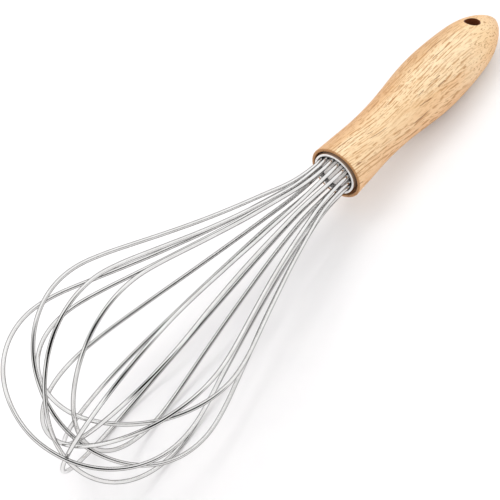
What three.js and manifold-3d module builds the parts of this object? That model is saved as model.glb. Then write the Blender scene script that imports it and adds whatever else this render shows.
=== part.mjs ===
// Balloon whisk: a turned wooden handle, a steel ferrule sleeve in its mouth, and eight spring-wire
// loops that cross at the tip.  Millimetres.  The whisk is built along its own axis: x = 0 is the
// front face of the handle, +x runs to the tip of the balloon.  At the end the whole tool is laid on
// the plane z = 0, where it rests on the swell of the grip and on the two lowest wires.
import * as THREE from "three";
import { mergeVertices } from "three/addons/utils/BufferGeometryUtils.js";
import Module from "manifold-3d";

// ---- driving dimensions: _R is a radius, _X a station on the axis ----
const CLEAR = 0.15; // radial clearance between neighbours that touch on the real tool
const END_GAP = 0.2; // the same, along the axis
const OVERCUT = 1; // how far a cutter runs past the face it opens
const SEGMENTS = 56; // round the axis

const WIRE_R = 0.85;
const WIRE_SIDES = 8;
const WIRE_STEPS = 92;
const BURIED_XS = [-26, -13, -2]; // stations of the straight wire ends, deepest first
const WIRE_END_X = BURIED_XS[0];

const FERRULE_OUT_R = 10.1;
const FERRULE_IN_R = 9.1;
const FERRULE_FRONT_X = 0.9; // stands just proud of the wood
const FERRULE_BACK_X = -14;
const FERRULE_CHAMFER = 0.25; // on both front edges

const MOUTH_R = 11.3; // shallow counterbore that leaves a gap round the ferrule
const MOUTH_FLOOR_X = -2.4;
const FILL_FRONT_X = MOUTH_FLOOR_X - END_GAP; // front of both the bond collar and the potting

const PLUG_FRONT_R = 7;
const PLUG_BACK_R = 6.2;
const PLUG_FRONT_X = 0.1;
const PLUG_BACK_X = WIRE_END_X - END_GAP;
const PLUG_FRONT_CHAMFER = 0.35;
const PLUG_BACK_CHAMFER = 0.6;
const PLUG_DOME = [[0.25, 4.6], [0.4, 2.3], [0.45, 0]]; // height over the front edge, radius
const PLUG_SEGMENTS = 40;

const POTTING_R = 8.92;
const POTTING_BACK_X = -28.4;
const POTTING_FLOOR_X = WIRE_END_X - 0.4; // front of the disc behind the wire ends
const CHANNEL_BACK_X = WIRE_END_X - 0.3; // wire channels through the potting
const CHANNEL_FRONT_X = 4;
const CHANNEL_SIDES = 12;

const SOCKET_R = 10.7; // bore that takes the ferrule
const SOCKET_FLOOR_X = FERRULE_BACK_X - END_GAP;
const WELL_R = FERRULE_IN_R; // narrower bore behind it, for the potted wire ends
const WELL_FLOOR_X = POTTING_BACK_X - END_GAP;

const GRIP_Y = 0.3; // the grip's axis lies this far to +y of the ferrule's
const HANG_HOLE_R = 3.4; // hanging hole through the tail of the grip
const HANG_HOLE_X = -101.2;
const HANG_HOLE_ANGLE = THREE.MathUtils.degToRad(124); // round the axis, from +y towards +z
const HANG_HOLE_REACH = 20; // half length of its cutter
const HANG_HOLE_SIDES = 32;
const MOUTH_FACE_R = 12.65;
const RIM_ROUND = 0.7; // rounded outer edge of the mouth
const RIM_STEPS = 4;
const GRIP_TAIL_X = -118.2;
// x, radius along the grip, from the mouth to the tail
const GRIP = [
  [-3.7, 12.45], [-7.4, 12.26], [-11.1, 12.05], [-14.9, 11.81], [-18.6, 11.57], [-22.3, 11.39],
  [-26.0, 11.31], [-29.7, 11.34], [-33.5, 11.45], [-37.2, 11.62], [-40.9, 11.86], [-44.6, 12.21],
  [-48.3, 12.63], [-52.0, 13.08], [-55.7, 13.5], [-59.4, 13.86], [-63.1, 14.13], [-66.8, 14.3],
  [-70.5, 14.35], [-74.3, 14.29], [-78.0, 14.14], [-81.7, 13.93], [-85.4, 13.66], [-89.1, 13.34],
  [-92.8, 12.95], [-96.5, 12.46], [-100.1, 11.75], [-103.7, 10.72], [-107.1, 9.41],
  [-110.2, 7.9], [-112.9, 6.26], [-115.2, 4.5], [-116.9, 2.72], [-117.8, 1.4],
];

// Upward normal of the plane the tool rests on, in the tool's own axes.
const REST_UP = [0.1107, -0.6336, 0.7657];

// Centre lines of the loops, bent by hand and so not quite alike.  Loop 1 is the innermost at the
// tip, loop 8 the outermost.  seat: y, z of the first buried end; the other end is buried
// diametrically opposite.  free: x, y, z from the first end out to the tip and back to the other.
const LOOPS = [
  {
    seat: [6.6, 4.5],
    free: [
      [6.4, 6.6, 4.7], [19.6, 7.3, 6.4], [32.3, 9.5, 9.7], [45.1, 12.2, 12.6], [57.8, 15.0, 15.7],
      [70.3, 18.1, 19.1], [82.8, 21.2, 22.6], [95.3, 24.5, 26.1], [107.8, 27.5, 29.6],
      [120.8, 29.1, 31.9], [134.0, 27.5, 31.1], [145.7, 22.7, 27.1], [154.8, 15.4, 20.8],
      [160.7, 6.4, 13.0], [163.1, -3.4, 4.4], [161.2, -13.4, -4.3], [155.6, -22.4, -12.3],
      [146.6, -29.8, -18.7], [134.7, -34.2, -22.6], [121.5, -34.8, -23.4], [108.6, -32.1, -21.5],
      [96.0, -28.4, -18.9], [83.5, -24.6, -16.3], [70.9, -20.9, -13.7], [58.3, -17.3, -11.4],
      [45.5, -14.0, -9.2], [32.7, -11.0, -7.3], [19.8, -7.9, -5.4], [6.6, -6.6, -4.6],
    ],
  },
  {
    seat: [-4.5, 6.6],
    free: [
      [6.7, -4.6, 6.7], [20.1, -5.6, 8.4], [33.0, -7.6, 12.0], [45.9, -9.7, 15.5],
      [58.8, -11.9, 19.2], [71.5, -14.4, 23.2], [84.1, -16.9, 27.4], [96.7, -19.5, 31.8],
      [109.3, -22.0, 36.1], [122.2, -23.9, 39.8], [135.7, -23.7, 40.5], [148.4, -20.6, 37.1],
      [158.4, -15.2, 30.1], [164.8, -8.2, 20.4], [167.1, -0.7, 9.5], [165.0, 6.6, -1.7],
      [159.1, 13.0, -12.0], [150.0, 18.0, -20.7], [138.2, 20.9, -26.5], [124.9, 21.4, -28.7],
      [111.6, 19.6, -27.1], [98.6, 17.0, -23.9], [85.8, 14.4, -20.6], [72.8, 11.9, -17.3],
      [59.8, 9.6, -14.3], [46.7, 7.4, -11.6], [33.5, 5.6, -9.2], [20.1, 4.4, -7.3],
      [6.6, 4.4, -6.6],
    ],
  },
  {
    seat: [-7.9, 1.4],
    free: [
      [6.8, -8.0, 1.5], [20.4, -9.9, 2.3], [33.6, -13.7, 3.9], [46.8, -17.5, 5.2],
      [60.0, -21.6, 6.5], [73.0, -26.0, 7.9], [85.9, -30.7, 9.3], [98.8, -35.6, 10.7],
      [111.7, -40.3, 12.1], [125.1, -43.8, 13.3], [138.8, -43.4, 13.6], [151.6, -38.3, 13.0],
      [161.8, -29.1, 11.6], [168.4, -17.2, 9.7], [170.8, -3.8, 7.5], [168.7, 9.5, 5.0],
      [162.5, 21.6, 2.6], [152.9, 31.3, 0.5], [140.6, 37.2, -1.0], [126.9, 38.8, -1.7],
      [113.4, 36.3, -1.7], [100.2, 32.0, -1.5], [87.1, 27.6, -1.3], [74.0, 23.1, -1.1],
      [60.8, 19.0, -0.9], [47.6, 15.1, -0.8], [34.2, 11.7, -0.8], [20.6, 8.9, -1.1],
      [6.8, 7.9, -1.4],
    ],
  },
  {
    seat: [1.4, 7.9],
    free: [
      [7.0, 1.4, 8.0], [20.7, 0.9, 9.9], [34.0, 0.6, 13.7], [47.3, 0.9, 17.7], [60.4, 1.2, 22.0],
      [73.5, 1.7, 26.7], [86.4, 2.3, 31.6], [99.3, 3.1, 36.8], [112.1, 4.0, 41.8],
      [125.3, 5.2, 46.0], [139.0, 6.3, 46.6], [152.0, 6.9, 42.2], [162.6, 6.7, 33.4],
      [169.5, 5.8, 21.5], [172.2, 4.4, 8.1], [169.8, 2.8, -5.4], [163.4, 1.1, -17.5],
      [153.7, -0.7, -27.2], [141.5, -2.3, -33.4], [127.9, -3.6, -35.5], [114.2, -4.2, -33.3],
      [100.9, -4.4, -29.4], [87.7, -4.4, -25.3], [74.4, -4.3, -21.3], [61.1, -4.1, -17.6],
      [47.7, -3.8, -14.2], [34.1, -3.4, -11.2], [20.6, -2.3, -8.7], [6.8, -1.5, -7.9],
    ],
  },
  {
    seat: [4.3, 6.7],
    free: [
      [7.0, 4.4, 6.9], [20.8, 5.1, 8.6], [34.3, 6.8, 12.3], [47.7, 8.7, 15.9], [61.0, 10.9, 19.8],
      [74.2, 13.3, 24.0], [87.2, 15.9, 28.4], [100.3, 18.6, 33.0], [113.3, 21.2, 37.4],
      [126.8, 23.1, 40.8], [140.7, 23.1, 41.0], [153.9, 20.8, 37.1], [164.7, 16.3, 29.4],
      [171.8, 10.3, 18.9], [174.5, 3.4, 7.1], [172.2, -3.5, -4.8], [165.8, -9.8, -15.5],
      [155.9, -14.9, -24.0], [143.4, -18.2, -29.3], [129.6, -19.3, -30.9], [115.8, -18.4, -29.0],
      [102.3, -16.6, -25.6], [88.8, -14.6, -22.1], [75.4, -12.5, -18.6], [61.9, -10.5, -15.3],
      [48.3, -8.6, -12.4], [34.6, -6.8, -9.8], [20.9, -5.1, -7.6], [6.9, -4.4, -6.8],
    ],
  },
  {
    seat: [-6.7, 4.3],
    free: [
      [7.1, -6.8, 4.5], [21.2, -7.8, 5.8], [34.9, -10.4, 8.4], [48.6, -13.4, 11.0],
      [62.1, -16.7, 13.7], [75.6, -20.4, 16.6], [88.9, -24.4, 19.7], [102.1, -28.4, 22.9],
      [115.5, -32.3, 26.0], [129.2, -35.0, 28.3], [143.3, -34.1, 28.4], [156.4, -29.4, 25.8],
      [166.8, -21.4, 20.5], [173.7, -11.3, 13.4], [176.6, -0.1, 5.2], [174.7, 11.4, -2.9],
      [168.2, 21.9, -9.9], [157.8, 29.9, -15.1], [144.8, 34.4, -18.2], [130.6, 35.2, -19.1],
      [116.7, 32.7, -17.8], [103.2, 28.9, -15.7], [89.7, 25.0, -13.5], [76.2, 21.1, -11.4],
      [62.6, 17.4, -9.4], [48.9, 14.0, -7.6], [35.1, 10.9, -6.1], [21.2, 8.0, -4.8],
      [7.1, 6.8, -4.4],
    ],
  },
  {
    seat: [-1.7, 7.8],
    free: [
      [7.0, -1.7, 7.9], [21.2, -1.7, 9.6], [34.9, -1.8, 13.3], [48.7, -2.2, 17.1],
      [62.3, -2.5, 21.3], [75.9, -2.9, 25.9], [89.3, -3.2, 30.6], [102.8, -3.5, 35.4],
      [116.3, -3.6, 40.0], [130.2, -3.2, 43.1], [144.3, -2.0, 42.3], [157.5, -0.2, 37.1],
      [168.2, 2.0, 28.0], [175.4, 4.5, 16.0], [178.1, 7.1, 2.3], [175.6, 9.3, -11.5],
      [168.9, 10.9, -23.9], [158.4, 11.7, -33.5], [145.3, 11.6, -38.8], [131.1, 10.8, -39.3],
      [117.3, 9.6, -36.1], [103.7, 8.2, -31.7], [90.2, 7.0, -27.3], [76.7, 5.7, -23.0],
      [63.0, 4.5, -19.0], [49.3, 3.3, -15.3], [35.4, 2.3, -12.1], [21.5, 1.5, -9.1],
      [7.3, 1.6, -7.9],
    ],
  },
  {
    seat: [7.8, 1.7],
    free: [
      [5.1, 7.8, 1.6], [19.6, 8.0, 1.7], [34.0, 9.3, 2.3], [48.3, 11.5, 3.0], [62.4, 14.4, 3.8],
      [76.5, 17.7, 4.7], [90.5, 21.3, 5.6], [104.5, 25.0, 6.6], [118.4, 28.9, 7.6],
      [132.5, 32.0, 8.6], [146.9, 32.1, 9.4], [160.6, 27.7, 9.6], [172.0, 18.9, 9.1],
      [179.3, 6.6, 7.5], [181.5, -7.3, 4.8], [178.0, -20.9, 1.5], [170.1, -32.5, -1.8],
      [158.4, -40.5, -4.5], [144.5, -43.8, -6.3], [130.2, -42.2, -6.8], [116.4, -37.7, -6.3],
      [102.8, -32.8, -5.5], [89.2, -28.0, -4.7], [75.4, -23.5, -3.9], [61.6, -19.2, -3.2],
      [47.7, -15.4, -2.6], [33.6, -12.0, -2.1], [19.4, -8.9, -1.8], [5.0, -7.9, -1.7],
    ],
  },
];

// ---- materials ----
const material = (settings) => new THREE.MeshStandardMaterial(settings);
const WOOD = material({ color: 0xe6bd88, roughness: 0.5, metalness: 0 });
const STEEL = material({ color: 0xd4d5d6, roughness: 0.18, metalness: 1 });
const WIRE = material({ color: 0xcfd0d1, roughness: 0.14, metalness: 1 });
const PLUG = material({ color: 0xd9d5d0, roughness: 0.45, metalness: 0 });
const POTTING = material({ color: 0x2b2a29, roughness: 0.55, metalness: 0 });
const BOND = material({ color: 0x2a1a12, roughness: 0.65, metalness: 0 });

// ---- solids ----
const wasm = await Module();
wasm.setup();

// Welds a closed geometry into a Manifold, turning it right side out if need be.
function toSolid(geometry) {
  geometry.deleteAttribute("normal");
  geometry.deleteAttribute("uv");
  const welded = mergeVertices(geometry, 1e-4);
  const vertProperties = new Float32Array(welded.attributes.position.array);
  const triVerts = new Uint32Array(welded.index.array);
  const build = () =>
    new wasm.Manifold(new wasm.Mesh({ numProp: 3, vertProperties, triVerts }));
  const result = build();
  if (result.volume() >= 0) return result;
  for (let i = 0; i < triVerts.length; i += 3) {
    [triVerts[i + 1], triVerts[i + 2]] = [triVerts[i + 2], triVerts[i + 1]];
  }
  return build();
}

// A solid of revolution about x from a list of [x, radius].
function turned(profile, segments = SEGMENTS) {
  const points = profile.map(([x, radius]) => new THREE.Vector2(radius, x));
  // The turn brings +y of the lathe to +x.
  return toSolid(new THREE.LatheGeometry(points, segments).rotateZ(-Math.PI / 2));
}

// A cylinder on the x axis.
const rod = (backX, frontX, radius) =>
  turned([[backX, 0], [backX, radius], [frontX, radius], [frontX, 0]]);

// A bore from the given floor out through the front face of the handle.
const bore = (floorX, radius) => rod(floorX, OVERCUT, radius);

// A straight round bar between two points.
function bar(from, to, radius, sides) {
  const start = new THREE.Vector3(...from);
  const end = new THREE.Vector3(...to);
  const direction = end.clone().sub(start).normalize();
  const turn = new THREE.Quaternion().setFromUnitVectors(new THREE.Vector3(0, 1, 0), direction);
  const middle = start.clone().add(end).multiplyScalar(0.5);
  const geometry = new THREE.CylinderGeometry(radius, radius, start.distanceTo(end), sides);
  return toSolid(geometry.applyQuaternion(turn).translate(middle.x, middle.y, middle.z));
}

function piece(name, solid, surface) {
  const { vertProperties, triVerts } = solid.getMesh();
  const geometry = new THREE.BufferGeometry();
  geometry.setAttribute(
    "position",
    new THREE.BufferAttribute(new Float32Array(vertProperties), 3),
  );
  geometry.setIndex(new THREE.BufferAttribute(new Uint32Array(triVerts), 1));
  geometry.computeVertexNormals();
  const mesh = new THREE.Mesh(geometry, surface);
  mesh.name = name;
  return mesh;
}

// ---- pieces ----
// Turned grip with its hanging hole and counterbore, then the stepped blind bore off its axis.
function woodenHandle() {
  const rim = Array.from({ length: RIM_STEPS + 1 }, (_, i) => {
    const angle = (i / RIM_STEPS) * (Math.PI / 2);
    return [
      RIM_ROUND * (Math.cos(angle) - 1),
      MOUTH_FACE_R + RIM_ROUND * (Math.sin(angle) - 1),
    ];
  });
  const holeY = HANG_HOLE_REACH * Math.cos(HANG_HOLE_ANGLE);
  const holeZ = HANG_HOLE_REACH * Math.sin(HANG_HOLE_ANGLE);
  const hangHole = bar(
    [HANG_HOLE_X, holeY, holeZ],
    [HANG_HOLE_X, -holeY, -holeZ],
    HANG_HOLE_R,
    HANG_HOLE_SIDES,
  );
  return turned([[0, 0], ...rim, ...GRIP, [GRIP_TAIL_X, 0]])
    .subtract(hangHole)
    .subtract(bore(MOUTH_FLOOR_X, MOUTH_R))
    .translate([0, GRIP_Y, 0])
    .subtract(bore(SOCKET_FLOOR_X, SOCKET_R))
    .subtract(bore(WELL_FLOOR_X, WELL_R));
}

function ferruleSleeve() {
  const chamferX = FERRULE_FRONT_X - FERRULE_CHAMFER;
  return turned([
    [FERRULE_BACK_X, FERRULE_IN_R],
    [chamferX, FERRULE_IN_R],
    [FERRULE_FRONT_X, FERRULE_IN_R + FERRULE_CHAMFER],
    [FERRULE_FRONT_X, FERRULE_OUT_R - FERRULE_CHAMFER],
    [chamferX, FERRULE_OUT_R],
    [FERRULE_BACK_X, FERRULE_OUT_R],
    [FERRULE_BACK_X, FERRULE_IN_R],
  ]);
}

// Fills the gap between the ferrule and its socket.
function bondCollar() {
  return rod(FERRULE_BACK_X, FILL_FRONT_X, SOCKET_R - CLEAR).subtract(
    rod(FERRULE_BACK_X - OVERCUT, FILL_FRONT_X + OVERCUT, FERRULE_OUT_R + CLEAR),
  );
}

// Tapered plug with a low dome, inside the ring of wires.
function corePlug() {
  const profile = [
    [PLUG_BACK_X, 0],
    [PLUG_BACK_X, PLUG_BACK_R - PLUG_BACK_CHAMFER],
    [PLUG_BACK_X + PLUG_BACK_CHAMFER, PLUG_BACK_R],
    [PLUG_FRONT_X - PLUG_FRONT_CHAMFER, PLUG_FRONT_R],
    [PLUG_FRONT_X, PLUG_FRONT_R - PLUG_FRONT_CHAMFER],
    ...PLUG_DOME.map(([height, radius]) => [PLUG_FRONT_X + height, radius]),
  ];
  return turned(profile, PLUG_SEGMENTS);
}

// A disc behind the wire ends, with ribs running forward between the wires.
function wirePotting() {
  const innerR = PLUG_FRONT_R + CLEAR;
  let potting = turned([
    [POTTING_BACK_X, 0],
    [POTTING_BACK_X, POTTING_R],
    [FILL_FRONT_X, POTTING_R],
    [FILL_FRONT_X, innerR],
    [POTTING_FLOOR_X, innerR],
    [POTTING_FLOOR_X, 0],
  ]);
  for (const { seat: [y, z] } of LOOPS) {
    for (const side of [1, -1]) {
      const back = [CHANNEL_BACK_X, side * y, side * z];
      const front = [CHANNEL_FRONT_X, side * y, side * z];
      potting = potting.subtract(bar(back, front, WIRE_R + CLEAR, CHANNEL_SIDES));
    }
  }
  return potting;
}

const wireSection = new THREE.Shape(
  Array.from({ length: WIRE_SIDES }, (_, i) => {
    const angle = (2 * Math.PI * (i + 0.5)) / WIRE_SIDES;
    return new THREE.Vector2(WIRE_R * Math.cos(angle), WIRE_R * Math.sin(angle));
  }),
);

function wireLoop({ seat: [y, z], free }) {
  const path = [
    ...BURIED_XS.map((x) => [x, y, z]),
    ...free,
    ...BURIED_XS.toReversed().map((x) => [x, -y, -z]),
  ];
  const points = path.map((point) => new THREE.Vector3(...point));
  const curve = new THREE.CatmullRomCurve3(points, false, "centripetal");
  curve.arcLengthDivisions = 2000; // fine enough to space the steps evenly
  return toSolid(
    new THREE.ExtrudeGeometry(wireSection, {
      steps: WIRE_STEPS,
      bevelEnabled: false,
      extrudePath: curve,
    }),
  );
}

// ---- assembly ----
const whisk = new THREE.Group();
whisk.name = "balloon_whisk";
whisk.add(
  piece("wooden_handle", woodenHandle(), WOOD),
  piece("ferrule_sleeve", ferruleSleeve(), STEEL),
  piece("ferrule_bond_collar", bondCollar(), BOND),
  piece("core_plug", corePlug(), PLUG),
  piece("wire_potting", wirePotting(), POTTING),
  ...LOOPS.map((loop, i) => piece(`wire_loop_${i + 1}`, wireLoop(loop), WIRE)),
);

// ---- lay the tool down: the rest plane level, the axis over +x ----
const up = new THREE.Vector3(...REST_UP).normalize();
const ahead = new THREE.Vector3(1, 0, 0).addScaledVector(up, -up.x).normalize();
const left = new THREE.Vector3().crossVectors(up, ahead);
whisk.quaternion.setFromRotationMatrix(
  new THREE.Matrix4().makeBasis(ahead, left, up).transpose(),
);

const root = new THREE.Group();
root.name = "balloon_whisk_at_rest";
root.add(whisk);
root.updateMatrixWorld(true);

// Centre it over the origin, with its lowest point on z = 0.
const box = new THREE.Box3().setFromObject(root, true);
whisk.position.set(
  -(box.min.x + box.max.x) / 2,
  -(box.min.y + box.max.y) / 2,
  -box.min.z,
);
root.updateMatrixWorld(true);

export default root;
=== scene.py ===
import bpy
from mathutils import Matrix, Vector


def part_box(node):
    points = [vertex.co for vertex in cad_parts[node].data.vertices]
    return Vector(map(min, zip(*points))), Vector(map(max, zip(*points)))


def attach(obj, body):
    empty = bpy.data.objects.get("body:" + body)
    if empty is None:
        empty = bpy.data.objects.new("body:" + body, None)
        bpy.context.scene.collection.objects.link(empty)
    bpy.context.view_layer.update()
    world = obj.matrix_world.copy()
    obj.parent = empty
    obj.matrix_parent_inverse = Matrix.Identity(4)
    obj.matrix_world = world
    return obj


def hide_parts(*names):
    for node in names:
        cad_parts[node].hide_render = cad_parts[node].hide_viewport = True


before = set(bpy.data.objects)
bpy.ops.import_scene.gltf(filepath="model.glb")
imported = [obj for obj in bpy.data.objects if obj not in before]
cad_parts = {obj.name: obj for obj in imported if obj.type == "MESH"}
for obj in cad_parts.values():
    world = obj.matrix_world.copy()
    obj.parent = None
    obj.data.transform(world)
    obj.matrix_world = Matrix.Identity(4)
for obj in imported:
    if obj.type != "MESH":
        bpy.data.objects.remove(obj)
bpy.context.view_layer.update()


import math

import bmesh
import bpy
import numpy as np
from mathutils import Euler, Matrix, Vector

MM = 0.001

# ---- Sizes in millimetres, along and around the tool's x axis ----
REST_UP = Vector((0.1107, -0.6336, 0.7657)).normalized()  # what points up at rest, in tool axes

FERRULE_FRONT, FERRULE_BACK = 0.9, -14.0
FERRULE_MID_X = (FERRULE_FRONT + FERRULE_BACK) / 2
FERRULE_IN_R, FERRULE_OUT_R = 9.1, 10.1
FERRULE_ROUND = 0.3
FERRULE_RINGS_X = (-9, -4)

GRIP_Y = 0.3  # the grip's axis lies this far to +y of the ferrule's
MOUTH_R, MOUTH_DEPTH = 11.3, 2.4
MOUTH_CHAMFER = 0.22
MOUTH_FACE_R = 12.65
RIM_ROUND = 0.7
SOCKET_R, SOCKET_DEPTH = 10.7, 14.2
WELL_R, WELL_DEPTH = 9.1, 28.6
HOLE_R = 3.4
HOLE_X = -101.2
HOLE_ANGLE = math.radians(124.0)  # about x, from +y towards +z
HOLE_CUT_REACH = 20
TAIL_X = -118.2
GRIP_STEP = 0.8
ROUND_SEGMENTS, HOLE_SEGMENTS = 144, 72

# The turned outline, from the mouth to the tail: x, radius
GRIP_OUTLINE = [
    (-3.7, 12.45), (-7.4, 12.26), (-11.1, 12.05), (-14.9, 11.81), (-18.6, 11.57), (-22.3, 11.39),
    (-26.0, 11.31), (-29.7, 11.34), (-33.5, 11.45), (-37.2, 11.62), (-40.9, 11.86), (-44.6, 12.21),
    (-48.3, 12.63), (-52.0, 13.08), (-55.7, 13.5), (-59.4, 13.86), (-63.1, 14.13), (-66.8, 14.3),
    (-70.5, 14.35), (-74.3, 14.29), (-78.0, 14.14), (-81.7, 13.93), (-85.4, 13.66), (-89.1, 13.34),
    (-92.8, 12.95), (-96.5, 12.46), (-100.1, 11.75), (-103.7, 10.72), (-107.1, 9.41),
    (-110.2, 7.9), (-112.9, 6.26), (-115.2, 4.5), (-116.9, 2.72), (-117.8, 1.4),
]

WIRE_R, WIRE_STEP = 0.85, 0.9
LEG_X = (-26.0, -13.0, -2.0)  # stations of the straight legs inside the ferrule

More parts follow.
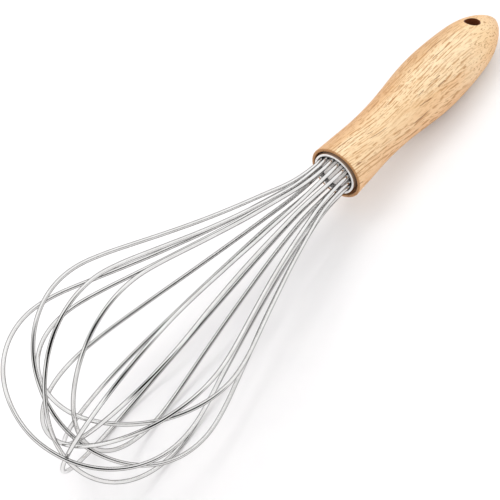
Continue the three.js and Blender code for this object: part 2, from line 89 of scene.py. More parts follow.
# One entry per loop: (y, z) of its first leg, then the x, y, z it runs through.
# The second leg lies across the axis from the first, at (-y, -z).
WIRE_LOOPS = [
    ((6.6, 4.5), [
        (6.4, 6.6, 4.7), (19.6, 7.3, 6.4), (32.3, 9.5, 9.7), (45.1, 12.2, 12.6),
        (57.8, 15.0, 15.7), (70.3, 18.1, 19.1), (82.8, 21.2, 22.6), (95.3, 24.5, 26.1),
        (107.8, 27.5, 29.6), (120.8, 29.1, 31.9), (134.0, 27.5, 31.1), (145.7, 22.7, 27.1),
        (154.8, 15.4, 20.8), (160.7, 6.4, 13.0), (163.1, -3.4, 4.4), (161.2, -13.4, -4.3),
        (155.6, -22.4, -12.3), (146.6, -29.8, -18.7), (134.7, -34.2, -22.6),
        (121.5, -34.8, -23.4), (108.6, -32.1, -21.5), (96.0, -28.4, -18.9), (83.5, -24.6, -16.3),
        (70.9, -20.9, -13.7), (58.3, -17.3, -11.4), (45.5, -14.0, -9.2), (32.7, -11.0, -7.3),
        (19.8, -7.9, -5.4), (6.6, -6.6, -4.6),
    ]),
    ((-4.5, 6.6), [
        (6.7, -4.6, 6.7), (20.1, -5.6, 8.4), (33.0, -7.6, 12.0), (45.9, -9.7, 15.5),
        (58.8, -11.9, 19.2), (71.5, -14.4, 23.2), (84.1, -16.9, 27.4), (96.7, -19.5, 31.8),
        (109.3, -22.0, 36.1), (122.2, -23.9, 39.8), (135.7, -23.7, 40.5), (148.4, -20.6, 37.1),
        (158.4, -15.2, 30.1), (164.8, -8.2, 20.4), (167.1, -0.7, 9.5), (165.0, 6.6, -1.7),
        (159.1, 13.0, -12.0), (150.0, 18.0, -20.7), (138.2, 20.9, -26.5), (124.9, 21.4, -28.7),
        (111.6, 19.6, -27.1), (98.6, 17.0, -23.9), (85.8, 14.4, -20.6), (72.8, 11.9, -17.3),
        (59.8, 9.6, -14.3), (46.7, 7.4, -11.6), (33.5, 5.6, -9.2), (20.1, 4.4, -7.3),
        (6.6, 4.4, -6.6),
    ]),
    ((-7.9, 1.4), [
        (6.8, -8.0, 1.5), (20.4, -9.9, 2.3), (33.6, -13.7, 3.9), (46.8, -17.5, 5.2),
        (60.0, -21.6, 6.5), (73.0, -26.0, 7.9), (85.9, -30.7, 9.3), (98.8, -35.6, 10.7),
        (111.7, -40.3, 12.1), (125.1, -43.8, 13.3), (138.8, -43.4, 13.6), (151.6, -38.3, 13.0),
        (161.8, -29.1, 11.6), (168.4, -17.2, 9.7), (170.8, -3.8, 7.5), (168.7, 9.5, 5.0),
        (162.5, 21.6, 2.6), (152.9, 31.3, 0.5), (140.6, 37.2, -1.0), (126.9, 38.8, -1.7),
        (113.4, 36.3, -1.7), (100.2, 32.0, -1.5), (87.1, 27.6, -1.3), (74.0, 23.1, -1.1),
        (60.8, 19.0, -0.9), (47.6, 15.1, -0.8), (34.2, 11.7, -0.8), (20.6, 8.9, -1.1),
        (6.8, 7.9, -1.4),
    ]),
    ((1.4, 7.9), [
        (7.0, 1.4, 8.0), (20.7, 0.9, 9.9), (34.0, 0.6, 13.7), (47.3, 0.9, 17.7),
        (60.4, 1.2, 22.0), (73.5, 1.7, 26.7), (86.4, 2.3, 31.6), (99.3, 3.1, 36.8),
        (112.1, 4.0, 41.8), (125.3, 5.2, 46.0), (139.0, 6.3, 46.6), (152.0, 6.9, 42.2),
        (162.6, 6.7, 33.4), (169.5, 5.8, 21.5), (172.2, 4.4, 8.1), (169.8, 2.8, -5.4),
        (163.4, 1.1, -17.5), (153.7, -0.7, -27.2), (141.5, -2.3, -33.4), (127.9, -3.6, -35.5),
        (114.2, -4.2, -33.3), (100.9, -4.4, -29.4), (87.7, -4.4, -25.3), (74.4, -4.3, -21.3),
        (61.1, -4.1, -17.6), (47.7, -3.8, -14.2), (34.1, -3.4, -11.2), (20.6, -2.3, -8.7),
        (6.8, -1.5, -7.9),
    ]),
    ((4.3, 6.7), [
        (7.0, 4.4, 6.9), (20.8, 5.1, 8.6), (34.3, 6.8, 12.3), (47.7, 8.7, 15.9),
        (61.0, 10.9, 19.8), (74.2, 13.3, 24.0), (87.2, 15.9, 28.4), (100.3, 18.6, 33.0),
        (113.3, 21.2, 37.4), (126.8, 23.1, 40.8), (140.7, 23.1, 41.0), (153.9, 20.8, 37.1),
        (164.7, 16.3, 29.4), (171.8, 10.3, 18.9), (174.5, 3.4, 7.1), (172.2, -3.5, -4.8),
        (165.8, -9.8, -15.5), (155.9, -14.9, -24.0), (143.4, -18.2, -29.3), (129.6, -19.3, -30.9),
        (115.8, -18.4, -29.0), (102.3, -16.6, -25.6), (88.8, -14.6, -22.1), (75.4, -12.5, -18.6),
        (61.9, -10.5, -15.3), (48.3, -8.6, -12.4), (34.6, -6.8, -9.8), (20.9, -5.1, -7.6),
        (6.9, -4.4, -6.8),
    ]),
    ((-6.7, 4.3), [
        (7.1, -6.8, 4.5), (21.2, -7.8, 5.8), (34.9, -10.4, 8.4), (48.6, -13.4, 11.0),
        (62.1, -16.7, 13.7), (75.6, -20.4, 16.6), (88.9, -24.4, 19.7), (102.1, -28.4, 22.9),
        (115.5, -32.3, 26.0), (129.2, -35.0, 28.3), (143.3, -34.1, 28.4), (156.4, -29.4, 25.8),
        (166.8, -21.4, 20.5), (173.7, -11.3, 13.4), (176.6, -0.1, 5.2), (174.7, 11.4, -2.9),
        (168.2, 21.9, -9.9), (157.8, 29.9, -15.1), (144.8, 34.4, -18.2), (130.6, 35.2, -19.1),
        (116.7, 32.7, -17.8), (103.2, 28.9, -15.7), (89.7, 25.0, -13.5), (76.2, 21.1, -11.4),
        (62.6, 17.4, -9.4), (48.9, 14.0, -7.6), (35.1, 10.9, -6.1), (21.2, 8.0, -4.8),
        (7.1, 6.8, -4.4),
    ]),
    ((-1.7, 7.8), [
        (7.0, -1.7, 7.9), (21.2, -1.7, 9.6), (34.9, -1.8, 13.3), (48.7, -2.2, 17.1),
        (62.3, -2.5, 21.3), (75.9, -2.9, 25.9), (89.3, -3.2, 30.6), (102.8, -3.5, 35.4),
        (116.3, -3.6, 40.0), (130.2, -3.2, 43.1), (144.3, -2.0, 42.3), (157.5, -0.2, 37.1),
        (168.2, 2.0, 28.0), (175.4, 4.5, 16.0), (178.1, 7.1, 2.3), (175.6, 9.3, -11.5),
        (168.9, 10.9, -23.9), (158.4, 11.7, -33.5), (145.3, 11.6, -38.8), (131.1, 10.8, -39.3),
        (117.3, 9.6, -36.1), (103.7, 8.2, -31.7), (90.2, 7.0, -27.3), (76.7, 5.7, -23.0),
        (63.0, 4.5, -19.0), (49.3, 3.3, -15.3), (35.4, 2.3, -12.1), (21.5, 1.5, -9.1),
        (7.3, 1.6, -7.9),
    ]),
    ((7.8, 1.7), [
        (5.1, 7.8, 1.6), (19.6, 8.0, 1.7), (34.0, 9.3, 2.3), (48.3, 11.5, 3.0),
        (62.4, 14.4, 3.8), (76.5, 17.7, 4.7), (90.5, 21.3, 5.6), (104.5, 25.0, 6.6),
        (118.4, 28.9, 7.6), (132.5, 32.0, 8.6), (146.9, 32.1, 9.4), (160.6, 27.7, 9.6),
        (172.0, 18.9, 9.1), (179.3, 6.6, 7.5), (181.5, -7.3, 4.8), (178.0, -20.9, 1.5),
        (170.1, -32.5, -1.8), (158.4, -40.5, -4.5), (144.5, -43.8, -6.3), (130.2, -42.2, -6.8),
        (116.4, -37.7, -6.3), (102.8, -32.8, -5.5), (89.2, -28.0, -4.7), (75.4, -23.5, -3.9),
        (61.6, -19.2, -3.2), (47.7, -15.4, -2.6), (33.6, -12.0, -2.1), (19.4, -8.9, -1.8),
        (5.0, -7.9, -1.7),
    ]),
]

# ---- The resting pose, hung on the ferrule's CAD box ----
ahead = (Vector((1, 0, 0)) - REST_UP * REST_UP.x).normalized()
ROT = Matrix((ahead, REST_UP.cross(ahead), REST_UP)).to_4x4()
box_low, box_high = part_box("ferrule_sleeve")
ferrule_middle = (box_low + box_high) / 2
WHISK = Matrix.Translation(ferrule_middle - ROT @ Vector((FERRULE_MID_X * MM, 0, 0))) @ ROT


# ---- Mesh helpers ----
def mesh_object(name, verts, faces):
    mesh = bpy.data.meshes.new(name)
    mesh.from_pydata([tuple(v) for v in verts], [], faces)
    mesh.validate()
    bm = bmesh.new()
    bm.from_mesh(mesh)
    bmesh.ops.recalc_face_normals(bm, faces=bm.faces)
    for face in bm.faces:
        face.smooth = True
    bm.to_mesh(mesh)
    bm.free()
    obj = bpy.data.objects.new(name, mesh)
    bpy.context.scene.collection.objects.link(obj)
    return obj


def place(obj, shift=(0, 0, 0)):
    """Lay the piece where the CAD lies; 'toolpos' keeps the coordinates it was built in."""
    mesh = obj.data
    coords = np.empty(len(mesh.vertices) * 3, np.float32)
    mesh.vertices.foreach_get("co", coords)
    attribute = mesh.attributes.new("toolpos", "FLOAT_VECTOR", "POINT")
    attribute.data.foreach_set("vector", coords)
    mesh.transform(WHISK @ Matrix.Translation(Vector(shift) * MM))
    mesh.update()


def sharpen(obj, degrees):
    """Mark the edges that bend by more than this angle as sharp."""
    bm = bmesh.new()
    bm.from_mesh(obj.data)
    limit = math.radians(degrees)
    for edge in bm.edges:
        edge.smooth = not (len(edge.link_faces) == 2 and edge.calc_face_angle(0.0) > limit)
    bm.to_mesh(obj.data)
    bm.free()


def revolve(name, profile, segments, closed_loop=False):
    """Turn (x, radius) points about x; radius 0 at both ends unless the profile closes."""
    verts, rings, faces = [], [], []
    for x, radius in profile:
        if radius < 1e-6:
            rings.append([len(verts)])
            verts.append((x * MM, 0, 0))
        else:
            start = len(verts)
            for i in range(segments):
                angle = 2 * math.pi * i / segments
                y, z = radius * MM * math.cos(angle), radius * MM * math.sin(angle)
                verts.append((x * MM, y, z))
            rings.append(list(range(start, start + segments)))
    pairs = list(zip(rings, rings[1:]))
    if closed_loop:
        pairs.append((rings[-1], rings[0]))
    for near, far in pairs:
        for i in range(segments):
            j = (i + 1) % segments
            if len(near) == 1:
                faces.append((near[0], far[i], far[j]))
            elif len(far) == 1:
                faces.append((near[i], far[0], near[j]))
            else:
                faces.append((near[i], far[i], far[j], near[j]))
    return mesh_object(name, verts, faces)


def cylinder(name, back, front, radius, segments):
    return revolve(name, [(back, 0), (back, radius), (front, radius), (front, 0)], segments)


def quarter(steps):
    return [i / steps * math.pi / 2 for i in range(steps + 1)]


def outer_edge(front, radius, rounding, steps):
    """The rounded outer edge of a front face, as (x, radius) points."""
    return [
        (front - rounding + rounding * math.cos(t), radius - rounding + rounding * math.sin(t))
        for t in quarter(steps)
    ]


def catmull(points, per):
    """Centripetal Catmull-Rom through the points, 'per' steps to a span."""
    knots = [np.array(p, float) for p in points]
    knots = [2 * knots[0] - knots[1]] + knots + [2 * knots[-1] - knots[-2]]
    out = []
    for i in range(1, len(knots) - 2):
        p0, p1, p2, p3 = knots[i - 1 : i + 3]
        spans = ((p0, p1), (p1, p2), (p2, p3))
        d0, d1, d2 = [max(np.linalg.norm(b - a) ** 0.5, 1e-4) for a, b in spans]
        m1 = ((p1 - p0) / d0 - (p2 - p0) / (d0 + d1) + (p2 - p1) / d1) * d1
        m2 = ((p2 - p1) / d1 - (p3 - p1) / (d1 + d2) + (p3 - p2) / d2) * d1
        for k in range(per):
            t = k / per
            out.append(
                (2 * t**3 - 3 * t**2 + 1) * p1
                + (t**3 - 2 * t**2 + t) * m1
                + (-2 * t**3 + 3 * t**2) * p2
                + (t**3 - t**2) * m2
            )
    out.append(knots[-2])
    return np.array(out)


def even(curve, step):
    """Resample the curve at even distances of about 'step'."""
    lengths = np.linalg.norm(np.diff(curve, axis=0), axis=1)
    travelled = np.concatenate([[0], np.cumsum(lengths)])
    count = max(8, int(round(travelled[-1] / step)))
    stations = np.linspace(0, travelled[-1], count + 1)
    return np.stack([np.interp(stations, travelled, column) for column in curve.T], 1)


def smoothed(curve, sigma):
    """Gaussian smoothing along the curve that keeps both ends where they are."""
    reach = int(3 * sigma) + 1
    kernel = np.exp(-0.5 * (np.arange(-reach, reach + 1) / sigma) ** 2)
    kernel /= kernel.sum()
    before = 2 * curve[0] - curve[reach:0:-1]
    after = 2 * curve[-1] - curve[-2 : -reach - 2 : -1]
    padded = np.concatenate([before, curve, after])
    return np.stack([np.convolve(column, kernel, "valid") for column in padded.T], 1)


def tube(name, curve, radius, sides):
    """A capped round wire; 'along' holds its direction at each vertex, as it lies."""
    tangents = np.gradient(curve, axis=0)
    tangents /= np.linalg.norm(tangents, axis=1)[:, None]
    normal = np.cross(tangents[0], (0, 0, 1.0))
    normal /= np.linalg.norm(normal)
    verts, faces, along = [], [], []
    for point, tangent in zip(curve, tangents):
        normal = normal - tangent * (normal @ tangent)
        normal /= np.linalg.norm(normal)
        binormal = np.cross(tangent, normal)
        for k in range(sides):
            angle = 2 * math.pi * k / sides
            spoke = math.cos(angle) * normal + math.sin(angle) * binormal
            verts.append((point + radius * spoke) * MM)
            along.append(tangent)
    for i in range(len(curve) - 1):
        for k in range(sides):
            j = (k + 1) % sides
            a, b = i * sides, (i + 1) * sides
            faces.append((a + k, a + j, b + j, b + k))
    for ring, flip in ((0, True), (len(curve) - 1, False)):
        centre = len(verts)
        verts.append(curve[ring] * MM)
        along.append(tangents[ring])
        for k in range(sides):
            j = (k + 1) % sides
            a = ring * sides
            faces.append((centre, a + j, a + k) if flip else (centre, a + k, a + j))
    obj = mesh_object(name, verts, faces)
    attribute = obj.data.attributes.new("along", "FLOAT_VECTOR", "POINT")
    turned = np.array(along) @ np.array(ROT.to_3x3()).T
    attribute.data.foreach_set("vector", turned.astype(np.float32).ravel())
    return obj


# ---- Shader helpers ----
class Graph:
    """A node tree. Values given to its methods are sockets, numbers or tuples."""

    def __init__(self, owner, output):
        owner.use_nodes = True
        self.tree = owner.node_tree
        self.tree.nodes.clear()
        self.out = self.node(output)

    def feed(self, socket, value):
        if isinstance(value, bpy.types.NodeSocket):
            self.tree.links.new(value, socket)
        else:
            socket.default_value = (*value, 1) if socket.type == "RGBA" else value

    def node(self, kind, inputs=None, **settings):
        node = self.tree.nodes.new("ShaderNode" + kind)
        for key, value in settings.items():
            setattr(node, key, value)
        for key, value in (inputs or {}).items():
            self.feed(node.inputs[key], value)
        return node

    def math(self, operation, *values):
        return self.node("Math", dict(enumerate(values)), operation=operation).outputs[0]

    def add(self, *terms):
        return self.math("ADD", *terms)

    def sub(self, *terms):
        return self.math("SUBTRACT", *terms)

    def mul(self, *factors):
        return self.math("MULTIPLY", *factors)

    def affine(self, value, gain, base):
        return self.math("MULTIPLY_ADD", value, gain, base)

    def hypot(self, a, b):
        return self.math("SQRT", self.add(self.mul(a, a), self.mul(b, b)))

    def vector(self, operation, *values):
        node = self.node("VectorMath", dict(enumerate(values)), operation=operation)
        return node.outputs[0]

    def dot(self, a, b):
        node = self.node("VectorMath", {0: a, 1: b}, operation="DOT_PRODUCT")
        return node.outputs["Value"]

    def step(self, value, span, out=(0.0, 1.0)):
        """A smooth step over the span, from the first 'out' value to the second."""
        inputs = {"Value": value, "From Min": span[0], "From Max": span[1]}
        inputs |= {"To Min": out[0], "To Max": out[1]}
        return self.node("MapRange", inputs, interpolation_type="SMOOTHSTEP").outputs["Result"]

    def blend(self, colour, tone, mask, amount=None):
        """Turn the colour to the tone by the mask, or by that share of the mask."""
        if amount is not None:
            mask = self.mul(mask, amount)
        return self.node("Mix", {0: mask, 6: colour, 7: tone}, data_type="RGBA").outputs[2]


class Material(Graph):
    def __init__(self, name):
        self.material = bpy.data.materials.new(name)
        super().__init__(self.material, "OutputMaterial")
        self.bsdf = self.node("BsdfPrincipled")
        self.feed(self.out.inputs["Surface"], self.bsdf.outputs[0])

    def set(self, name, value):
        self.feed(self.bsdf.inputs[name], value)

    def attribute(self, name):
        return self.node("Attribute", attribute_name=name).outputs["Vector"]

    def object_position(self):
        return self.node("TexCoord").outputs["Object"]

    def split(self, vector):
        return tuple(self.node("SeparateXYZ", {0: vector}).outputs)

    def noise(self, position, scale, offset=(0, 0, 0), detail=1.0, rough=0.5, output="Fac"):
        """Noise with its own scale per metre along each axis."""
        inputs = {"Vector": self.vector("MULTIPLY_ADD", position, scale, offset)}
        inputs |= {"Scale": 1.0, "Detail": detail, "Roughness": rough}
        return self.node("TexNoise", inputs).outputs[output]

    def ramp(self, value, stops):
        node = self.node("ValToRGB", {0: value})
        elements = node.color_ramp.elements
        while len(elements) < len(stops):
            elements.new(0.5)
        for element, (position, colour) in zip(elements, stops):
            element.position = position
            element.color = (*colour, 1)
        return node.outputs["Color"]

    def bevel(self, radius):
        return self.node("Bevel", {"Radius": radius}, samples=6).outputs[0]

    def bump(self, height, strength, distance, normal=None):
        inputs = {"Strength": strength, "Distance": distance, "Height": height}
        if normal is not None:
            inputs["Normal"] = normal
        self.set("Normal", self.node("Bump", inputs).outputs[0])


def srgb(*channels):
    """0-255 display values to linear colour."""
    shares = [channel / 255 for channel in channels]
    return tuple(s / 12.92 if s <= 0.04045 else ((s + 0.055) / 1.055) ** 2.4 for s in shares)


# ---- Pale hardwood: long grain, short dark pores that turn to dots on the end grain ----
# Lengths inside the materials are metres.
GRAIN_TURN = (0.5, 0.05, 0.15)  # the grain runs a little across the axis
GRAIN = Euler(GRAIN_TURN, "XYZ").to_matrix().inverted() @ Vector((1, 0, 0))
RING_CENTRE = (-0.034, -0.018)  # centre of the growth rings across the grain
# Sets of vessel lines: lines per metre, how far noise sways them, and the noise that breaks them
MAIN_LINES = dict(per_metre=640, sway=3.0, gate_scale=(165, 700, 700), offset=(0, 3, 1))
CLOSE_LINES = dict(per_metre=1130, sway=4.2, gate_scale=(200, 950, 950), offset=(5, 0, 9))
DARK_LINES = dict(per_metre=430, sway=3.0, gate_scale=(80, 420, 420), offset=(2, 6, 4))
HOLE_LONG_AXIS = (-0.536, -0.844)  # along x and across, towards the two darker ends
SURFACE_SLOPE, SURFACE_R = 0.268, 0.01147  # the grip's outside at the hole


def grain_position(mat, position):
    """The position with a slow wander of the grain lines, turned to the grain."""
    wander = mat.noise(position, (14, 30, 30), detail=1.0, output="Color")
    shifted = mat.vector("MULTIPLY_ADD", wander, (0.0, 0.0016, 0.0016), position)
    inputs = {"Vector": shifted, "Rotation": GRAIN_TURN}
    return mat.node("VectorRotate", inputs, rotation_type="EULER_XYZ").outputs[0]


def wood_figure(mat, grain):
    tone = mat.noise(grain, (9, 75, 75), detail=3, rough=0.55)
    band = mat.noise(grain, (5, 260, 130), offset=(3.1, 0, 0), detail=4, rough=0.62)
    fine = mat.noise(grain, (38, 1900, 1900), offset=(0, 7, 0), detail=3, rough=0.6)
    colour = mat.ramp(tone, [
        (0.28, srgb(235, 199, 151)),
        (0.45, srgb(244, 215, 172)),
        (0.60, srgb(249, 227, 188)),
        (0.78, srgb(243, 212, 168)),
    ])
    for noise, tint, span, out in (
        (band, srgb(222, 172, 118), (0.50, 0.72), (0, 0.45)),
        (band, srgb(252, 232, 194), (0.30, 0.44), (0.40, 0)),
        (fine, srgb(204, 152, 98), (0.46, 0.74), (0, 0.35)),
    ):
        colour = mat.blend(colour, tint, mat.step(noise, span=span, out=out))
    return colour, fine


def wood_sides(mat, colour, x, y):
    # painted shade: warmer and darker where the surface turns away from the view
    facing = mat.node("LayerWeight", {"Blend": 0.5}).outputs["Facing"]
    painted_edge_shade = mat.step(facing, span=(0.34, 0.92), out=(0, 0.66))
    colour = mat.blend(colour, srgb(222, 165, 106), painted_edge_shade)
    # painted shade on both sides: redder towards +y, away from the light, less so behind the
    # belly; duller towards -y, where the light falls
    waist = mat.step(x, span=(-0.082, -0.070))
    plus_y = mat.step(y, span=(0.002, 0.0085), out=(0, 0.34))
    painted_shade_plus_y = mat.mul(plus_y, mat.affine(waist, gain=0.7, base=0.3))
    colour = mat.blend(colour, srgb(224, 162, 104), painted_shade_plus_y)
    painted_shade_minus_y = mat.step(y, span=(-0.0072, -0.0120), out=(0, 0.58))
    colour = mat.blend(colour, srgb(203, 160, 110), painted_shade_minus_y)
    tail = mat.step(x, span=(-0.084, -0.100), out=(0, 0.30))
    colour = mat.blend(colour, srgb(236, 190, 126), tail)
    # painted shade on the -y side near the mouth as well
    front = mat.step(x, span=(-0.056, -0.044))
    painted_shade_near_mouth = mat.mul(front, mat.step(y, span=(-0.0060, -0.0085)))
    return mat.blend(colour, srgb(206, 150, 92), painted_shade_near_mouth, amount=0.40)


def wood_pores(mat, colour, grain, x, y):
    """Vessel lines along the growth rings, dots and stipple where the grain is cut."""
    _, across_y, across_z = mat.split(grain)
    ring_y = mat.add(across_y, -RING_CENTRE[0])
    ring_z = mat.add(across_z, -RING_CENTRE[1])
    ring = mat.hypot(ring_y, ring_z)

    def lines(per_metre, sway, gate_scale, offset, width, gate):
        """Thin swaying lines, broken into dashes; width is their share of the spacing."""
        wave = mat.noise(grain, (26, 90, 90), offset=offset, detail=1.5)
        phase = mat.math("FRACT", mat.add(mat.mul(ring, per_metre), mat.mul(wave, sway)))
        away = mat.math("ABSOLUTE", mat.sub(phase, 0.5))
        dashes = mat.step(mat.noise(grain, gate_scale, offset=offset), span=gate)
        return mat.mul(mat.step(away, span=(width * 0.35, width), out=(1.0, 0.0)), dashes)

    # how squarely the surface cuts across the grain: 0 along it, 1 on end grain
    normal = mat.node("NewGeometry").outputs["Normal"]
    across = mat.dot(normal, ROT.to_3x3() @ GRAIN)
    cutting = mat.step(mat.mul(across, -1.0), span=(0.16, 0.42))
    slant = mat.mul(y, 0.9)  # the tail's end grain begins on a slant
    tailward = mat.step(mat.sub(x, slant), span=(-0.0800, -0.0955))
    cutting = mat.math("MAXIMUM", cutting, tailward)
    lengthwise = mat.affine_free(cutting) if False else mat.sub(1.0, mat.mul(cutting, 0.92))

    main = lines(**MAIN_LINES, width=0.17, gate=(0.47, 0.55))
    close = lines(**CLOSE_LINES, width=0.22, gate=(0.48, 0.56))
    dark = lines(**DARK_LINES, width=0.10, gate=(0.58, 0.63))
    main, close, dark = (mat.mul(mask, lengthwise) for mask in (main, close, dark))
    pores = mat.math("MAXIMUM", main, mat.mul(close, 0.7))
    # pores cut nearly end on: small dots
    dots = mat.noise(grain, (260, 2000, 2000), offset=(2, 8, 0))
    dots = mat.mul(mat.step(dots, span=(0.62, 0.70)), 0.62)
    pores = mat.math("MAXIMUM", pores, dots)
    stipple = mat.noise(grain, (520, 1250, 1250), offset=(6, 1, 3))
    stipple = mat.mul(mat.step(stipple, span=(0.58, 0.66)), mat.mul(cutting, 0.9))
    pores = mat.math("MAXIMUM", pores, stipple)
    patch = mat.noise(grain, (16, 90, 90), offset=(8, 8, 8), detail=1.5)
    pores = mat.mul(pores, mat.step(patch, span=(0.30, 0.52), out=(0.40, 1.0)))
    colour = mat.blend(colour, srgb(159, 104, 45), pores, amount=0.72)
    colour = mat.blend(colour, srgb(122, 71, 26), dark, amount=0.72)
    pores = mat.math("MAXIMUM", pores, dark)
    # soft darker halo along the main lines
    halo = lines(**MAIN_LINES, width=0.42, gate=(0.40, 0.58))
    halo = mat.mul(halo, lengthwise)
    return mat.blend(colour, srgb(206, 154, 98), halo, amount=0.20), pores, normal


def mouth_tones(mat, colour, normal, x, radius):
    # end grain at the mouth takes more finish
    facing = mat.dot(normal, ROT.to_3x3() @ Vector((1, 0, 0)))
    facing = mat.step(facing, span=(0.10, 0.80))
    end = mat.mul(facing, mat.step(x, span=(-0.0030, -0.0004)))
    colour = mat.blend(colour, srgb(172, 120, 70), end, amount=0.85)
    # painted shade darkens the inside of the mouth and its bores
    mouth_r, socket_r = MOUTH_R * MM, SOCKET_R * MM
    recess = mat.step(radius, span=(mouth_r + 0.00010, mouth_r - 0.00005))
    painted_recess_shade = mat.mul(recess, mat.step(x, span=(-0.0032, -0.0028)))
    painted_recess_shade = mat.mul(painted_recess_shade, mat.step(x, span=(0.0002, -0.0005)))
    bore = mat.step(radius, span=(socket_r + 0.0004, socket_r + 0.0003))
    deep = mat.mul(bore, mat.step(x, span=(-0.032, -0.030)))
    deep = mat.mul(deep, mat.step(x, span=(-0.0005, -0.0012)))
    painted_recess_shade = mat.math("MAXIMUM", painted_recess_shade, deep)
    return mat.blend(colour, srgb(146, 96, 54), painted_recess_shade, amount=0.92), painted_recess_shade


def painted_hole_shade(mat, colour, x, y, z, radius):
    """The hole's wall is painted with dark shade from a little way down; its eased edge stays
    pale.
    """
    hole_r = HOLE_R * MM
    hole_x = mat.sub(x, HOLE_X * MM)
    sideways = mat.mul(y, -math.sin(HOLE_ANGLE))
    hole_side = mat.add(sideways, mat.mul(z, math.cos(HOLE_ANGLE)))
    from_axis = mat.hypot(hole_x, hole_side)
    # near 1 at the two ends of the rim, where the edge is not pale
    part_x = mat.mul(hole_x, HOLE_LONG_AXIS[0] / hole_r)
    ends = mat.add(part_x, mat.mul(hole_side, HOLE_LONG_AXIS[1] / hole_r))
    ends = mat.mul(ends, ends)
    ends = mat.math("MINIMUM", mat.mul(ends, ends), 1.2)
    wall_r = mat.affine(ends, gain=0.00020, base=hole_r + 0.00006)
    hole = mat.step(mat.sub(from_axis, wall_r), span=(0.00006, -0.00002))
    surface = mat.affine(hole_x, gain=SURFACE_SLOPE, base=SURFACE_R)
    down = mat.sub(surface, mat.add(radius, mat.mul(ends, -0.00040)))
    hole = mat.mul(hole, mat.step(down, span=(0.00012, 0.00052)))
    return mat.blend(colour, srgb(112, 52, 20), hole, amount=0.97)


def wood_material():
    mat = Material("pale_hardwood")
    position = mat.attribute("toolpos")
    grain = grain_position(mat, position)
    colour, fine = wood_figure(mat, grain)
    x, y, z = mat.split(position)
    colour = wood_sides(mat, colour, x, y)
    colour, pores, normal = wood_pores(mat, colour, grain, x, y)
    radius = mat.hypot(y, z)
    colour, painted_recess_shade = mouth_tones(mat, colour, normal, x, radius)
    colour = painted_hole_shade(mat, colour, x, y, z, radius)
    # the light it throws on the table is paler than itself
    diffuse_ray = mat.node("LightPath").outputs["Is Diffuse Ray"]
    bounce = mat.mul(diffuse_ray, mat.affine(painted_recess_shade, gain=-0.45, base=0.45))
    mat.set("Base Color", mat.blend(colour, (0.72, 0.685, 0.675), bounce))

    rough = mat.add(mat.mul(fine, 0.16), 0.40)
    mat.set("Roughness", mat.affine(pores, gain=0.2, base=rough))
    mat.set("Specular IOR Level", 0.34)
    mat.set("Coat Weight", 0.10)
    mat.set("Coat Roughness", 0.34)
    # relief: pores sink in, the grain stands slightly proud, faint turning marks
    turning = mat.noise(position, (2600, 30, 30))
    height = mat.add(mat.mul(fine, 0.35), mat.mul(pores, -1.0))
    height = mat.add(height, mat.mul(turning, 0.12))
    mat.bump(height, strength=0.55, distance=0.00012, normal=mat.bevel(radius=0.0005))
    return mat.material


# ---- Steel ----
def wire_material():
    """Bright drawn stainless wire."""
    mat = Material("bright_spring_wire")
    position = mat.attribute("toolpos")
    cloud = mat.noise(position, (120, 120, 120), detail=3)
    draw = mat.noise(position, (260, 5200, 5200), detail=3, rough=0.6)
    colour = mat.ramp(cloud, [(0.35, (0.74, 0.735, 0.725)), (0.65, (0.82, 0.816, 0.81))])
    # painted dark reflections: darker at its two sides, as seen from the camera, than along the
    # middle of its visible face
    along = mat.attribute("along")
    geometry = mat.node("NewGeometry")
    view = geometry.outputs["Incoming"]
    inputs = {0: along, "Scale": mat.dot(view, along)}
    lengthwise = mat.node("VectorMath", inputs, operation="SCALE").outputs[0]
    over = mat.vector("NORMALIZE", mat.vector("SUBTRACT", view, lengthwise))
    painted_side_reflection = mat.step(mat.dot(over, geometry.outputs["Normal"]), span=(0.90, 0.36))
    mat.set("Base Color", mat.blend(colour, (0.15, 0.147, 0.142), painted_side_reflection))
    mat.set("Specular Tint", mat.blend((1.0, 1.0, 1.0), (0.25, 0.25, 0.25), painted_side_reflection))
    mat.set("Metallic", 1.0)
    streaks = mat.mul(draw, 0.04)
    mat.set("Roughness", mat.add(streaks, mat.affine(cloud, gain=0.03, base=0.02)))
    mat.bump(draw, strength=0.10, distance=0.00003)
    return mat.material


def ferrule_material():
    mat = Material("bright_ferrule_steel")
    position = mat.attribute("toolpos")
    turned = mat.noise(position, (3600, 220, 220), detail=3, rough=0.6)
    cloud = mat.noise(position, (170, 170, 170), detail=3)
    x, y, z = mat.split(position)
    radius = mat.hypot(y, z)
    colour = mat.ramp(cloud, [(0.3, (0.93, 0.915, 0.895)), (0.7, (0.975, 0.965, 0.95))])
    # bright lip; painted shade darkens the outer wall behind it, in the gap between it and the
    # wood
    behind_lip = mat.step(x, span=(0.00070, 0.00025))
    painted_gap_shade = mat.mul(behind_lip, mat.step(radius, span=(0.00955, 0.00985)))
    colour = mat.blend(colour, srgb(158, 128, 100), painted_gap_shade, amount=0.88)
    # painted shade darkens the bore on its +z side
    behind_lip = mat.step(x, span=(0.00062, 0.00022))
    bore = mat.mul(behind_lip, mat.step(radius, span=(0.00945, 0.00925)))
    bore = mat.mul(bore, mat.step(z, span=(-0.002, 0.003)))
    mat.set("Base Color", mat.blend(colour, srgb(62, 54, 48), bore, amount=0.92))
    mat.set("Metallic", 0.40)
    mat.set("Roughness", mat.add(mat.mul(turned, 0.16), 0.24))
    mat.bump(turned, strength=0.25, distance=0.00004, normal=mat.bevel(radius=0.0002))
    return mat.material


# ---- Cast fillings of the mouth, and the table ----
def resin_material(name, dark, light, rough):
    mat = Material(name)
    position = mat.object_position()
    fine = mat.noise(position, (900, 900, 900), detail=4, rough=0.6)
    cloud = mat.noise(position, (210, 210, 210), offset=(4, 0, 0), detail=3)
    mat.set("Base Color", mat.ramp(cloud, [(0.3, dark), (0.7, light)]))
    mat.set("Roughness", mat.affine(fine, gain=0.3, base=rough))
    mat.bump(fine, strength=0.5, distance=0.00025)
    return mat.material


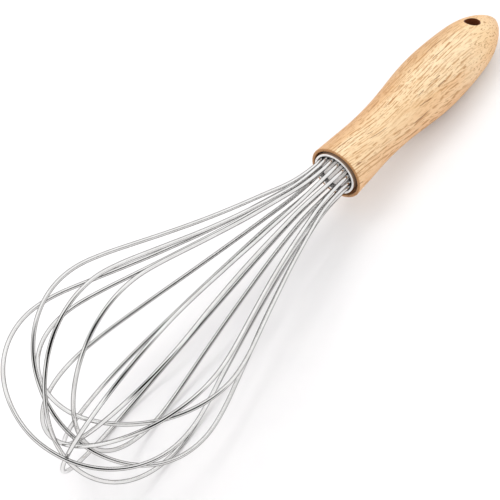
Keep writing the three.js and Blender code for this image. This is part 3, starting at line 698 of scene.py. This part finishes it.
def plug_material():
    mat = Material("pale_cast_core")
    position = mat.object_position()
    cloud = mat.noise(position, (420, 420, 420), detail=4, rough=0.6)
    fine = mat.noise(position, (2600, 2600, 2600), detail=2)
    colour = mat.ramp(cloud, [(0.3, srgb(242, 236, 232)), (0.7, srgb(250, 247, 244))])
    mat.set("Base Color", colour)
    mat.set("Roughness", mat.affine(fine, gain=0.2, base=0.28))
    mat.bump(fine, strength=0.3, distance=0.00008)
    return mat.material


def floor_material():
    mat = Material("white_table")
    cloud = mat.noise(mat.object_position(), (60, 60, 60), detail=4)
    colour = mat.ramp(cloud, [(0.3, (0.900, 0.900, 0.902)), (0.7, (0.915, 0.914, 0.912))])
    mat.set("Base Color", colour)
    mat.set("Roughness", mat.affine(cloud, gain=0.1, base=0.55))
    mat.set("Specular IOR Level", 0.15)
    return mat.material


WOOD = wood_material()
WIRE = wire_material()
FERRULE = ferrule_material()
POTTING = resin_material(
    "dark_potting", dark=(0.010, 0.009, 0.008), light=(0.035, 0.031, 0.028), rough=0.35
)
BOND = resin_material(
    "brown_bond", dark=srgb(112, 76, 46), light=srgb(150, 106, 66), rough=0.45
)
PLUG = plug_material()


def dress(obj, material):
    obj.data.materials.clear()
    obj.data.materials.append(material)


def finish_piece(obj, material, replaced):
    dress(obj, material)
    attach(obj, "root")
    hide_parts(replaced)


# ---- The grip ----
def grip_outside():
    """A smooth curve through the turned outline, resampled evenly."""
    points = np.array([(0.0, MOUTH_FACE_R)] + GRIP_OUTLINE + [(TAIL_X, 0.0)], float)
    # mirrored past the tail, so that the tail is round
    both = np.concatenate([points, points[-2::-1] * (1, -1)])
    curve = smoothed(catmull(both, per=12), sigma=7)
    half = even(curve[: (len(curve) + 1) // 2], GRIP_STEP)
    half[-1, 1] = 0.0
    return half


def grip_profile():
    mouth = [
        (-MOUTH_DEPTH, 0.0),
        (-MOUTH_DEPTH, MOUTH_R * 0.5),
        (-MOUTH_DEPTH, MOUTH_R),
        (-MOUTH_CHAMFER, MOUTH_R),
        (-MOUTH_CHAMFER * 0.3, MOUTH_R + MOUTH_CHAMFER * 0.3),
        (0.0, MOUTH_R + MOUTH_CHAMFER),
    ]
    rim = outer_edge(0.0, MOUTH_FACE_R, RIM_ROUND, steps=8)
    return mouth + rim + [tuple(p) for p in grip_outside() if p[0] < -RIM_ROUND - 0.2]


def grip_cutters():
    """The hanging hole, and the two bores behind the mouth on the ferrule's axis."""
    hole = cylinder("hole_cutter", -HOLE_CUT_REACH, HOLE_CUT_REACH, HOLE_R, HOLE_SEGMENTS)
    direction = Vector((0, math.cos(HOLE_ANGLE), math.sin(HOLE_ANGLE)))
    turn = Vector((1, 0, 0)).rotation_difference(direction).to_matrix().to_4x4()
    hole.data.transform(Matrix.Translation((HOLE_X * MM, 0, 0)) @ turn)
    cutters = [hole]
    for radius, depth in ((SOCKET_R, SOCKET_DEPTH), (WELL_R, WELL_DEPTH)):
        bore = cylinder("bore_cutter", -depth, 2, radius, ROUND_SEGMENTS)
        bore.data.transform(Matrix.Translation((0, -GRIP_Y * MM, 0)))
        cutters.append(bore)
    return cutters


def build_grip():
    grip = revolve("turned_wooden_grip", grip_profile(), ROUND_SEGMENTS)
    cutters = grip_cutters()
    for cutter in cutters:
        modifier = grip.modifiers.new("cut", "BOOLEAN")
        modifier.operation = "DIFFERENCE"
        modifier.solver = "EXACT"
        modifier.object = cutter
    bpy.context.view_layer.update()
    depsgraph = bpy.context.evaluated_depsgraph_get()
    cut_mesh = bpy.data.meshes.new_from_object(grip.evaluated_get(depsgraph))
    grip.modifiers.clear()
    grip.data = cut_mesh
    for cutter in cutters:
        bpy.data.objects.remove(cutter)
    # weld the doubled points the cuts leave, so that the mesh is closed with no slivers
    bm = bmesh.new()
    bm.from_mesh(grip.data)
    bmesh.ops.remove_doubles(bm, verts=bm.verts[:], dist=1e-6)
    bmesh.ops.triangulate(bm, faces=[face for face in bm.faces if len(face.verts) > 4])
    bm.to_mesh(grip.data)
    bm.free()
    for polygon in grip.data.polygons:
        polygon.use_smooth = True
    sharpen(grip, degrees=32)
    place(grip, (0, GRIP_Y, 0))
    finish_piece(grip, WOOD, "wooden_handle")


# ---- The ferrule ----
def build_ferrule():
    back_inner = [(x, FERRULE_IN_R) for x in (FERRULE_BACK, *FERRULE_RINGS_X)]
    inner_edge = [
        (
            FERRULE_FRONT - FERRULE_ROUND + FERRULE_ROUND * math.sin(t),
            FERRULE_IN_R + FERRULE_ROUND - FERRULE_ROUND * math.cos(t),
        )
        for t in quarter(6)
    ]
    lip = outer_edge(FERRULE_FRONT, FERRULE_OUT_R, FERRULE_ROUND, steps=6)
    back_outer = [(x, FERRULE_OUT_R) for x in (*reversed(FERRULE_RINGS_X), FERRULE_BACK)]
    profile = back_inner + inner_edge + lip + back_outer
    ferrule = revolve("ferrule_edge", profile, ROUND_SEGMENTS, closed_loop=True)
    sharpen(ferrule, degrees=40)
    place(ferrule)
    finish_piece(ferrule, FERRULE, "ferrule_sleeve")


# ---- The loops ----
def build_loops():
    for number, ((leg_y, leg_z), points) in enumerate(WIRE_LOOPS, start=1):
        first_leg = [(x, leg_y, leg_z) for x in LEG_X]
        second_leg = [(x, -leg_y, -leg_z) for x in reversed(LEG_X)]
        curve = even(catmull(first_leg + points + second_leg, per=16), WIRE_STEP)
        name = f"wire_loop_{number}"
        loop = tube("spring_" + name, smoothed(curve, sigma=4.0), WIRE_R, sides=20)
        place(loop)
        finish_piece(loop, WIRE, name)


build_grip()
build_ferrule()
build_loops()

# carried-over solids inside the mouth
dress(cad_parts["wire_potting"], POTTING)
dress(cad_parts["ferrule_bond_collar"], BOND)
dress(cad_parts["core_plug"], PLUG)

# ---- Camera: placed in the tool's own axes, so it follows the resting pose ----
CAM_AT = Vector((459.670, -1.601, 704.712))  # mm
CAM_RIGHT = Vector((-0.623710, 0.694992, 0.357731))
CAM_UP = Vector((-0.602870, -0.719017, 0.345778))
CAM_BACK = Vector((0.497528, -0.000000, 0.867448))

cam_data = bpy.data.cameras.new("photo_camera")
cam_data.sensor_width = 36.0
cam_data.sensor_fit = "HORIZONTAL"
cam_data.lens = 144.0
cam_data.clip_start = 0.01
cam_data.clip_end = 20.0
cam = bpy.data.objects.new("photo_camera", cam_data)
bpy.context.scene.collection.objects.link(cam)
cam_turn = Matrix((CAM_RIGHT, CAM_UP, CAM_BACK)).transposed().to_4x4()
cam.matrix_world = WHISK @ Matrix.Translation(CAM_AT * MM) @ cam_turn
bpy.context.scene.camera = cam
bpy.context.view_layer.update()
cam_axes = cam.matrix_world.to_3x3()
cam_right = cam_axes @ Vector((1, 0, 0))
cam_up = cam_axes @ Vector((0, 1, 0))
cam_back = cam_axes @ Vector((0, 0, 1))

# ---- Table ----
bm = bmesh.new()
bmesh.ops.create_grid(bm, x_segments=24, y_segments=24, size=3.0)
floor_mesh = bpy.data.meshes.new("table_top")
bm.to_mesh(floor_mesh)
bm.free()
floor = bpy.data.objects.new("table_top", floor_mesh)
bpy.context.scene.collection.objects.link(floor)
floor.location = (0, 0, -0.0001)
dress(floor, floor_material())

# ---- World ----
DOME_STRENGTH = 1.15  # lights the matt surfaces
MIRROR_STRENGTH = 1.14  # what the steel mirrors
# Dark shapes the steel mirrors: the bulk of camera and photographer, and an arm to the left.
# Columns: x, y, half width, half height, where the soft edge starts and ends (share of size)
DARK_SHAPES = [
    (0.48, -0.10, 0.84, 0.74, 0.68, 1.06),
    (0.10, 0.12, 0.44, 0.60, 0.66, 1.04),
    (-0.52, 0.34, 0.34, 0.40, 0.58, 1.10),
]


def build_world():
    world = bpy.data.worlds.new("studio")
    bpy.context.scene.world = world
    sky = Graph(world, "OutputWorld")
    direction = sky.node("TexCoord").outputs["Generated"]
    upward = sky.dot(direction, (0, 0, 1))
    # an equal-area map of the directions around the camera's
    spread = sky.math("DIVIDE", 2.0, sky.add(sky.dot(direction, cam_back), 1.0001))
    spread = sky.math("SQRT", spread)
    map_x = sky.mul(sky.dot(direction, cam_right), spread)
    map_y = sky.mul(sky.dot(direction, cam_up), spread)
    # a white tent, a little greyer near the table, with the dark shapes in front of it
    mirrored = sky.step(upward, span=(0.0, 0.35), out=(0.80, 1.0))
    for x, y, half_width, half_height, edge_start, edge_end in DARK_SHAPES:
        across = sky.math("DIVIDE", sky.sub(map_x, x), half_width)
        upright = sky.math("DIVIDE", sky.sub(map_y, y), half_height)
        distance = sky.hypot(across, upright)
        mirrored = sky.mul(mirrored, sky.step(distance, span=(edge_start, edge_end)))
    # an even dome, brighter overhead
    dome = sky.step(upward, span=(-0.1, 0.9), out=(0.80, 1.0))
    glossy = sky.node("LightPath").outputs["Is Glossy Ray"]
    levels = {0: glossy, 2: sky.mul(dome, DOME_STRENGTH), 3: sky.mul(mirrored, MIRROR_STRENGTH)}
    strength = sky.node("Mix", levels, data_type="FLOAT").outputs[0]
    colour = sky.blend((1.0, 0.985, 0.99), (1.0, 1.0, 1.0), glossy)
    background = sky.node("Background", {"Color": colour, "Strength": strength})
    sky.feed(sky.out.inputs["Surface"], background.outputs[0])


build_world()

# ---- Overhead softbox: above the whisk, a little to the camera's left and up ----
KEY_AT = Vector((0, 0, 1.15)) - cam_right * 0.35 + cam_up * 0.25
KEY_TARGET = Vector((0.02, 0, 0))

key_light = bpy.data.lights.new("overhead_softbox", "AREA")
key_light.shape = "DISK"
key_light.size = 0.75
key_light.energy = 3.3
key_light.color = (1.0, 0.995, 1.0)
key = bpy.data.objects.new("overhead_softbox", key_light)
bpy.context.scene.collection.objects.link(key)
key.location = KEY_AT
key.rotation_euler = (KEY_TARGET - KEY_AT).to_track_quat("-Z", "Y").to_euler()
key.visible_glossy = False  # the steel mirrors the world instead

view = bpy.context.scene.view_settings
view.view_transform = "Standard"
view.look = "None"
view.exposure = 0.0
view.gamma = 1.0
